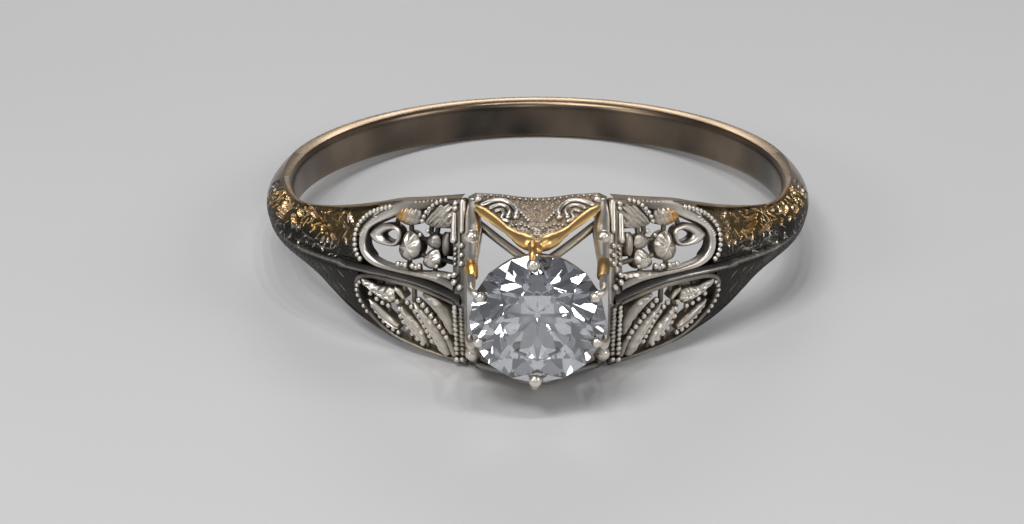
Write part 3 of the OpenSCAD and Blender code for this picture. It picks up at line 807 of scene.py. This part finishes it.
# ------------------------------------------------------------------ lower gallery
def lower(side):
    def neg(p):
        return [(a, -f) for a, f in p]

    M = Mesh()
    arch = neg([(15, .09), (22, .085), (30, .085), (35.5, .09), (38.6, .15), (40, .28), (40.3, .44), (39.8, .60), (38.4, .76),
                (35.6, .88), (32, .94), (27, .965), (21, .975), (15, .975)])
    band(M, side, arch, [.07, .07, .07, .075, .09, .10, .095, .085, .07, .06, .055, .055, .06], H=0.04, n=260, wear=0.25)
    beads(M, side, neg([(38.5, .20), (39.7, .31), (40.2, .43), (40, .55), (39.2, .66), (37.9, .78)]), r=0.075, gap=0.20,
          lift=0.07, wear=0.8)
    M.build(f"frame_lower_{nm(side)}_visual", WHITE, [f"frame_lower_{nm(side)}"], sharp=50)

    M = Mesh()
    leaf(M, side, neg([(38.4, .17), (36.6, .255), (34.6, .31), (32.4, .325), (30.2, .30)]),
         [(.04, .04), (.16, .14), (.20, .20), (.27, .26), (.30, .26), (.20, .18)], H=0.19, teeth=6, tooth=0.26,
         tooth_side=side * 0 + (1 if side > 0 else 1), vein=0.05, ribs=5, wear=0.8)
    spots(M, side, neg([(36.4, .37), (34.9, .425), (33.5, .455), (32.1, .465)]), r=0.09, lift=0.08)
    leaf(M, side, neg([(37.2, .50), (35.4, .62), (33.2, .715), (30.4, .775)]), [.04, .17, .20, .19, .12], H=0.16, teeth=0,
         vein=0.10, ribs=0, wear=0.85)
    beads(M, side, neg([(36.8, .56), (35.4, .68), (33.6, .785), (31.4, .83), (29.8, .84)]), r=0.085, gap=0.20, lift=0.06)
    for p in ([(34, .12), (34.2, .24)], [(30.6, .36), (30.2, .70)], [(36.5, .56), (38.9, .62)], [(33, .80), (33.4, .92)],
              [(33.2, .46), (33.2, .66)], [(38.3, .17), (39.2, .18)]):
        strut(M, side, neg(p))
    M.build(f"leaves_lower_{nm(side)}_visual", WHITE, [f"leaves_lower_{nm(side)}"], sharp=50)

    M = Mesh()
    leaf(M, side, neg([(30.4, .17), (29.2, .23), (28, .30)]), [.05, .10, .06], H=0.10, n=30, vein=0, wear=0.7)
    spots(M, side, neg([(29.7, .36), (29.4, .46), (29.2, .56)]), r=0.10, lift=0.07)
    # three long leaves sweeping from the ridge to the rim, each with a beaded lower edge
    leaf(M, side, neg([(28.9, .42), (27.9, .56), (26.6, .66), (25.2, .745), (23.6, .84)]), [.05, .17, .23, .25, .22, .10],
         H=0.20, vein=0.04, ribs=5, wear=0.9)
    beads(M, side, neg([(29, .60), (28.2, .69), (27, .765), (25.6, .83), (24, .885)]), r=0.10, gap=0.22, lift=0.05)
    beads(M, side, neg([(27.6, .30), (26.4, .35), (25.4, .40), (24.5, .46), (23.8, .53), (23.2, .61), (22.5, .70), (21.9, .80)]),
          r=0.092, gap=0.205, lift=0.09)
    leaf(M, side, neg([(26.6, .40), (24.6, .53), (23, .68), (21.6, .83)]), [.03, .10, .11, .08], H=0.10, vein=0, wear=0.45)
    leaf(M, side, neg([(25.6, .31), (23.9, .42), (22.3, .56), (20.8, .72), (19, .93)]), [.04, .12, .19, .24, .26, .16],
         H=0.19, vein=0.04, ribs=7, wear=0.8)
    beads(M, side, neg([(24.4, .20), (23.3, .25), (22.4, .31), (21.5, .37), (20.5, .43), (19.6, .49), (18.7, .56), (18, .66)]),
          r=0.105, gap=0.225, lift=0.10)
    leaf(M, side, neg([(23, .135), (20.8, .20), (19, .29), (17.7, .41), (16.9, .58)]), [.05, .14, .20, .22, .18, .10],
         H=0.17, vein=0.03, ribs=5, wear=0.55)
    leaf(M, side, neg([(18.7, .62), (17.9, .76), (17.4, .92)]), [.05, .14, .12], H=0.12, vein=0, wear=0.5, n=40)
    for p in ([(28.6, .20), (28.6, .10)], [(26.4, .33), (26.2, .10)], [(22.6, .17), (22.4, .10)], [(17.3, .50), (15.8, .50)],
              [(19.4, .88), (19.2, .96)], [(24.4, .84), (24.2, .95)], [(26.6, .42), (26.4, .62)], [(22.6, .50), (22.4, .66)],
              [(20.6, .40), (20.4, .62)], [(28.2, .62), (30.2, .66)], [(28.6, .72), (28.4, .94)], [(18, .80), (15.8, .80)],
              [(29.9, .20), (29.3, .62)]):
        strut(M, side, neg(p), r=0.09)
    M.build(f"fan_lower_{nm(side)}_visual", WHITE, [f"fan_lower_{nm(side)}"], sharp=50)


# ------------------------------------------------------------------ beaded crossbars beside the head
def at_x(x, f):
    a = np.degrees(np.arcsin(x / 10.2)) * np.ones_like(f)
    for _ in range(8):
        a = a + np.degrees((x - base(1, a, f)[..., 0]) / 10.0)
    return a


def crossbar(side):
    M = Mesh()
    f = np.sin(np.linspace(-1, 1, 141) * math.pi / 2) * 0.985
    xs = np.linspace(2.32, 2.74, 11)
    F, X = np.meshgrid(f, xs, indexing="ij")
    A = at_x(X, F)
    s = (X - 2.53) / 0.21
    h = 0.03 * (1 - np.abs(s) ** 4) - 0.05 * np.exp(-(s / 0.22) ** 2) - 0.16 * smooth(np.abs(F), 0.945, 0.985) ** 2
    top = base(1, A, F) + normal(1, A, F) * h[..., None]
    bot = np.stack([X, -np.sqrt((BORE + 0.02) ** 2 - X ** 2), base(1, A, F)[..., 2] * 0.95], -1)
    top[..., 0] *= side
    bot[..., 0] *= side
    M.slab(top, bot, 0.35, 0.1)

    def on(x, ff, lift):
        ff = np.asarray(ff, float)
        q = at_x(np.full_like(ff, x), ff)
        P = base(1, q, ff) + normal(1, q, ff) * lift
        P[..., 0] *= side
        return P

    def row(x, f0, f1, r, gap, lift=0.06, wear=0.9):
        ff = np.linspace(f0, f1, 200)
        Q = on(x, ff, lift)
        L = length_of(Q)
        k = max(2, int(round(L / gap)))
        sl = np.concatenate([[0], np.cumsum(np.linalg.norm(np.diff(Q, axis=0), axis=1))])
        at = (np.arange(k) + 0.5) / k * L
        C = np.stack([np.interp(at, sl, Q[:, c]) for c in range(3)], -1)
        M.balls(C, r * (1 + 0.14 * RNG.standard_normal(k).clip(-1, 1)), wear=wear)

    # outer row: beads, a long bright pin, a cluster at the ridge, beads below
    row(2.64, 0.965, 0.86, 0.10, 0.21)
    ff = np.linspace(0.82, 0.56, 30)
    M.tube(on(2.66, ff, 0.09), np.interp(np.linspace(0, 1, 30), [0, .5, 1], [0.085, 0.10, 0.125]), seg=16, up=(0, -1, 0), wear=1.0)
    row(2.62, 0.50, 0.30, 0.08, 0.17, wear=0.6)
    M.balls(np.concatenate([on(2.62, [0.22, 0.15], 0.09), on(2.80, [0.19], 0.07), on(2.44, [0.13], 0.07)]), 0.115, wear=1.0)
    row(2.62, -0.08, -0.87, 0.102, 0.245)
    # inner row: a smooth bar at the top, single beads, then a finer row below
    ff = np.linspace(0.95, 0.66, 40)
    M.tube(on(2.42, ff, 0.04), 0.10, seg=16, up=(0, -1, 0), wear=0.75)
    M.balls(on(2.40, [0.52, 0.43, 0.35], 0.08), [0.10, 0.095, 0.10], wear=0.9)
    row(2.42, -0.06, -0.84, 0.085, 0.225, wear=0.6)
    M.balls(np.concatenate([on(2.62, [-0.93], 0.08), on(2.44, [-0.90], 0.08)]), [0.12, 0.10], wear=1.0)
    M.build(f"crossbar_{nm(side)}_visual", WHITE, [f"crossbar_{nm(side)}"], sharp=50)


# ------------------------------------------------------------------ head
HALF = pchip([(0, 2.27), (0.14, 2.20), (0.25, 1.88), (0.63, 1.04), (1, 0.06)])


def plate_z(x, v):
    edge = hw(np.degrees(np.abs(x) / 8.7)) - 0.02 - 0.10 * smooth(np.abs(x), 1.95, 2.27)
    u = np.clip(x / HALF(v), -1, 1)
    z = edge * (1 - v) ** 1.2 + (2.24 + 0.0 * v) * (1 - (1 - v) ** 1.2)
    return z - 0.10 * np.sin(math.pi * np.clip(v, 0, 1)) * (1 - u ** 2)


def plate_point(x, d, lift, z):
    x, d = np.asarray(x, float), np.asarray(d, float)
    r0 = np.sqrt(np.maximum(8.52 ** 2 - x ** 2, 1))
    v = np.clip((d - r0) / (11.5 - r0), 0, 1)
    return np.stack([x, -d, (plate_z(x, v) + lift) * z], -1)


def head(z):
    name = "upper" if z > 0 else "lower"
    M = Mesh()
    V, U = np.meshgrid(np.linspace(0, 1, 150), np.linspace(-1, 1, 201), indexing="ij")
    X = U * HALF(V)
    r0 = np.sqrt(np.maximum(8.52 ** 2 - X ** 2, 1))
    D = r0 + V * (11.5 - r0)
    Z = plate_z(X, V)
    stip = np.maximum(0, np.sin(X * 31 + 2.2 * np.sin(D * 13)) * np.sin(D * 33 + 2 * np.sin(X * 15)))
    body = smooth(V, 0.03, 0.10) * smooth(np.abs(U), 1.0, 0.9)
    top = np.stack([X, -D, (Z - 0.035 * stip * body) * z], -1)
    bot = np.stack([X * 0.985, -D, (Z - 0.15) * z], -1)
    w = np.clip(0.62 - 0.5 * stip * body + 0.2 * (1 - body), 0, 1)
    M.slab(top, bot, w, 0.1)
    M.build(f"plate_{name}_visual", PLATE, [f"plate_{name}"], sharp=50)

    M = Mesh()
    for sd in (-1, 1):
        for pts, r in (([(1.78, 9.05), (1.50, 8.86), (1.18, 8.80), (0.88, 8.95), (0.68, 9.28), (0.70, 9.62)], 0.085),
                       ([(1.52, 9.22), (1.28, 9.03), (1.02, 9.10), (0.90, 9.36), (0.96, 9.66)], 0.065),
                       ([(1.34, 9.38), (1.18, 9.30), (1.10, 9.50), (1.16, 9.80), (0.98, 9.92)], 0.06)):
            c = spline(pts, 60)
            M.tube(plate_point(sd * c[:, 0], c[:, 1], 0.03, z), np.interp(np.linspace(0, 1, 60), [0, .7, 1], [r, r, r * 1.35]),
                   seg=12, wear=0.9)
        c = spline([(0.30, 9.72), (0.52, 9.36), (0.78, 9.02)], 7)
        M.balls(plate_point(sd * c[:, 0], c[:, 1], 0.02, z), 0.062, wear=0.9)
        c = spline([(0.16, 10.2), (0.52, 10.0), (0.80, 10.1)], 6)
        M.balls(plate_point(sd * c[:, 0], c[:, 1], 0.02, z), 0.05, wear=0.7)
        M.balls(plate_point(np.array([sd * 1.92]), np.array([8.72]), 0.03, z), 0.15, wear=1.0)
    xs = np.linspace(-1.7, 1.7, 19)
    M.balls(plate_point(xs, np.sqrt(8.66 ** 2 - xs ** 2), 0.02, z), 0.055, wear=0.6)
    M.build(f"scroll_{name}", WHITE, [], sharp=50)

    # chevron, thickening into a boss under the claw
    M = Mesh()
    for sd in (-1, 1):
        c = spline([(sd * 1.90, -9.16, 2.70), (sd * 1.50, -9.70, 2.60), (sd * 1.04, -10.35, 2.46), (sd * 0.55, -10.98, 2.35),
                    (sd * 0.06, -11.48, 2.27)], 60)
        c[:, 2] *= z
        M.tube(c, np.interp(np.linspace(0, 1, 60), [0, .08, .30, .52, .66, .80, .92, 1], [0.13, 0.175, 0.165, 0.135, 0.18, 0.275, 0.285, 0.22]), seg=28,
               flat=0.85, up=(0, 0, 1), wear=0.8)
    c = spline([(0, -11.25, 2.24), (0, -11.5, 2.25), (0, -11.74, 2.20)], 20)
    c[:, 2] *= z
    M.tube(c, np.interp(np.linspace(0, 1, 20), [0, .5, 1], [0.16, 0.21, 0.16]), seg=24, up=(0, 0, 1), wear=0.8)
    # painted shade: the lower chevron gets the dark metal instead of gold
    M.build(f"chevron_{name}_visual", GOLD if z > 0 else DARK, [f"chevron_{name}"])

    # grey brace parallel to the chevron, a step lower
    M = Mesh()
    for sd in (-1, 1):
        c = spline([(sd * 1.96, -9.05, 2.20), (sd * 1.50, -9.70, 2.05), (sd * 1.00, -10.40, 1.90), (sd * 0.45, -11.10, 1.74),
                    (sd * 0.10, -11.42, 1.66)], 50)
        c[:, 2] *= z
        M.tube(c, 0.12, seg=16, flat=1.35, wear=0.5)
    M.build(f"brace_{name}_visual", WHITE, [f"brace_{name}"])

    # corner posts
    for sd in (-1, 1):
        M = Mesh()
        c = spline([(sd * 2.10, -8.62, 2.66), (sd * 2.09, -8.95, 2.40), (sd * 2.04, -9.55, 2.02), (sd * 2.06, -10.3, 1.60),
                    (sd * 2.12, -11.0, 1.24)], 60)
        c[:, 2] *= z
        w = np.linspace(0, 1, 60)
        M.tube(c, np.interp(w, [0, .12, .35, .5, .8, 1], [0.22, 0.245, 0.28, 0.25, 0.19, 0.19]), seg=24, wear=0.9)
        M.balls(np.array([[sd * 2.12, -9.92, 2.02 * z]]), 0.235, wear=1.0, lat=12, lon=18)
        M.gold = 1.0 if sd < 0 else 0.75
        if z > 0:
            # painted shade: the right post's foot gets low wear, so it renders darker than the left
            c = spline([(sd * 2.13, -10.72, 1.42), (sd * 2.11, -10.95, 1.31), (sd * 2.08, -11.16, 1.16)], 24)
            M.tube(c, np.interp(np.linspace(0, 1, 24), [0, .4, 1], [0.16, 0.225, 0.19] if sd < 0 else [0.20, 0.212, 0.195]), seg=24,
                   wear=0.8 if sd < 0 else 0.25)
        M.build(f"post_{name}_{nm(sd)}_visual", WHITE, [f"post_{name}_{nm(sd)}"])


def prongs():
    M = Mesh()
    for k, ang in enumerate((-4, 65, 110, 182, 250, 295)):
        t = math.radians(ang)
        ex = np.array([math.sin(t), 0, math.cos(t)])
        ax = np.array([0, -1, 0])
        foot = 11.35 if k % 3 == 0 else 10.98
        pr = [(2.28, foot), (2.33, 11.65), (2.33, 11.95), (2.26, 12.14), (2.12, 12.26), (2.02, 12.28)]
        pts = [ex * r + ax * d for r, d in pr]
        if k % 3:
            up = 1.0 if k in (1, 5) else -1.0
            q = np.array([math.copysign(2.12, ex[0]), -10.98, 1.22 * up])
            pts = [q, q * 0.45 + pts[1] * 0.55 + ax * 0.02] + pts[1:]
        c = spline(pts, 48)
        M.gold = 0.9 if k == 0 else 0.0
        M.tube(c, np.interp(np.linspace(0, 1, 48), [0, .35, .7, 1], [0.19 if k % 3 == 0 else 0.16, 0.145, 0.12, 0.11]), seg=20, up=ex,
               wear=0.6)
        M.gold = 0.0
        M.balls((ex * (1.94 if k == 0 else 2.0) + ax * 12.29)[None], 0.215 if k % 3 == 0 else 0.165, wear=1.0, lat=14, lon=20)
    M.build("prongs_visual", WHITE, ["prongs"])


def seat():
    M = Mesh()
    prof = np.array([(1.52, 11.36), (1.56, 11.33), (1.95, 11.33), (2.00, 11.38), (2.02, 11.58), (1.98, 11.64), (1.90, 11.65), (1.84, 11.60)])
    n = 96
    ph = np.linspace(0, 2 * math.pi, n, endpoint=False)
    V = np.array([[r * math.sin(p), -d, r * math.cos(p)] for p in ph for r, d in prof])
    M.add(V, grid_faces(n, len(prof), wrap_n=True, wrap_m=True), wear=0.5)
    M.build("seat_ring_visual", WHITE, ["seat_ring"], sharp=35)


def diamond():
    R, rt, rs = 2.175, 1.15, 1.66
    gh, cr, pv = 0.04, 0.68, 1.87
    yc = 12.0
    V, F = [], []

    def P(r, h, k):
        t = math.radians(45 * k + 22.5)
        V.append((r * math.sin(t), -(yc + h), r * math.cos(t)))
        return len(V) - 1

    slope = -cr / (R - rt)
    hs = gh + cr + (rs * math.cos(math.radians(22.5)) - rt) * slope
    T = [P(rt, gh + cr, k) for k in range(8)]
    S = [P(rs, hs, k + .5) for k in range(8)]
    G = [P(R, gh + (0.0 if i % 2 == 0 else 0.015), i / 2) for i in range(16)]
    H = [P(R, -gh - (0.0 if i % 2 == 0 else 0.015), i / 2) for i in range(16)]
    rl = 0.62
    ps = pv / (R - 0.10)
    hl = -gh - (R - rl * math.cos(math.radians(22.5))) * ps
    Lw = [P(rl, hl, k + .5) for k in range(8)]
    C = [P(0.10, -gh - pv, k) for k in range(8)]
    F.append(T[:])
    for k in range(8):
        k1 = (k + 1) % 8
        F.append([T[k1], T[k], S[k]])
        F.append([T[k], S[k - 1], G[2 * k], S[k]])
        F.append([S[k], G[2 * k], G[2 * k + 1]])
        F.append([S[k], G[2 * k + 1], G[(2 * k + 2) % 16]])
        F.append([C[k], Lw[k], H[2 * k], Lw[k - 1]])
        F.append([Lw[k], H[2 * k + 1], H[2 * k]])
        F.append([Lw[k], H[(2 * k + 2) % 16], H[2 * k + 1]])
        F.append([C[k], C[k1], Lw[k]])
    for i in range(16):
        j = (i + 1) % 16
        F.append([G[i], H[i], H[j], G[j]])
    F.append(C[::-1])
    me = bpy.data.meshes.new("diamond_visual")
    me.from_pydata([tuple(np.array(v) * MM) for v in V], [], F)
    me.update()
    bm = bmesh.new()
    bm.from_mesh(me)
    bmesh.ops.recalc_face_normals(bm, faces=bm.faces)
    bm.to_mesh(me)
    bm.free()
    o = bpy.data.objects.new("diamond_visual", me)
    bpy.context.scene.collection.objects.link(o)
    me.materials.append(DIAMOND)
    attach(o, "root")
    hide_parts("diamond")


shank()
for sd in (-1, 1):
    shoulder(sd)
    ridge(sd)
    upper(sd)
    lower(sd)
    crossbar(sd)
for ud in (1, -1):
    head(ud)
prongs()
seat()
diamond()

# ------------------------------------------------------------------ stage, light and camera
TILT = math.atan(0.128)
floor_me = bpy.data.meshes.new("floor")
ext = 400 * MM
c0 = -1.86 * MM
pts = [(-ext, -ext), (ext, -ext), (ext, ext), (-ext, ext)]
floor_me.from_pydata([(x, y, c0 + 0.128 * y) for x, y in pts], [], [(0, 1, 2, 3)])
floor = bpy.data.objects.new("floor", floor_me)
bpy.context.scene.collection.objects.link(floor)
fm, fnt, fb = new_mat("floor_paper")
fb.inputs["Roughness"].default_value = 0.9
nz = fnt.nodes.new("ShaderNodeTexNoise")
nz.inputs["Scale"].default_value = 40
rp = fnt.nodes.new("ShaderNodeMapRange")
rp.inputs["To Min"].default_value = 0.64
rp.inputs["To Max"].default_value = 0.68
fnt.links.new(nz.outputs["Fac"], rp.inputs["Value"])
cb = fnt.nodes.new("ShaderNodeCombineColor")
for i in range(3):
    fnt.links.new(rp.outputs[0], cb.inputs[i])
fnt.links.new(cb.outputs[0], fb.inputs["Base Color"])
floor_me.materials.append(fm)

world = bpy.data.worlds.new("studio")
bpy.context.scene.world = world
world.use_nodes = True
wn = world.node_tree
wn.nodes.clear()
wo = wn.nodes.new("ShaderNodeOutputWorld")
wb = wn.nodes.new("ShaderNodeBackground")
wb.inputs["Strength"].default_value = 1.0
grad = wn.nodes.new("ShaderNodeTexCoord")
sep = wn.nodes.new("ShaderNodeSeparateXYZ")
ramp = wn.nodes.new("ShaderNodeValToRGB")
wn.links.new(grad.outputs["Generated"], sep.inputs[0])
wn.links.new(sep.outputs["Z"], ramp.inputs[0])
ramp.color_ramp.elements[0].position = 0.0
ramp.color_ramp.elements[0].color = (0.30, 0.30, 0.31, 1)
ramp.color_ramp.elements[1].position = 0.75
ramp.color_ramp.elements[1].color = (0.10, 0.10, 0.11, 1)
wn.links.new(ramp.outputs[0], wb.inputs["Color"])
wn.links.new(wb.outputs[0], wo.inputs[0])


def area(name, loc, target, size, power, color=(1, 1, 1)):
    li = bpy.data.lights.new(name, "AREA")
    li.shape = "RECTANGLE"
    li.size, li.size_y = size[0] * MM, size[1] * MM
    li.energy = power
    li.color = color
    o = bpy.data.objects.new(name, li)
    bpy.context.scene.collection.objects.link(o)
    o.location = Vector(loc) * MM
    o.rotation_euler = (Vector(target) * MM - o.location).to_track_quat("-Z", "Y").to_euler()
    return o


area("key", (-60, -90, 150), (0, -5, 0), (70, 50), 0.12)
area("fill", (130, -70, 80), (0, -5, 0), (50, 70), 0.045)
area("back", (0, 150, 110), (0, 0, 0), (90, 30), 0.05)
for i, x in enumerate((-14, 14, 42)):
    area(f"lamp_{i}", (x, -60, 170), (0, -5, 0), (7, 7), 0.022)
area("flash", (-110, -102, 60), (0, -12, 0), (44, 36), 0.03)
area("front", (30, -190, 75), (0, -11, 0), (26, 26), 0.035)
bpy.context.scene.view_settings.view_transform = "Standard"

E = math.radians(19.25)
DIST, SCALE, CX, CY = 120.0, 28.5, 537.5, 194.5
FPX = DIST * SCALE
cam_d = bpy.data.cameras.new("camera")
cam = bpy.data.objects.new("camera", cam_d)
bpy.context.scene.collection.objects.link(cam)
cam_d.sensor_width = 36.0
cam_d.lens = FPX / 1024 * 36.0
cam_d.clip_start = 0.005
cam_d.clip_end = 5
back = Vector((0, -math.cos(E), math.sin(E)))
right = Vector((1, 0, 0))
up = back.cross(right)
# turn the camera so that the ring's centre falls at (CX, CY) of the frame
ax = math.atan((CX - 512) / FPX)
ay = math.atan((CY - 262) / FPX)
rot = Matrix((right, up, back)).transposed().to_4x4()
turn = Matrix.Rotation(ax, 4, "Y") @ Matrix.Rotation(ay, 4, "X")
cam.matrix_world = Matrix.Translation(back * DIST * MM) @ rot @ turn
bpy.context.scene.camera = cam
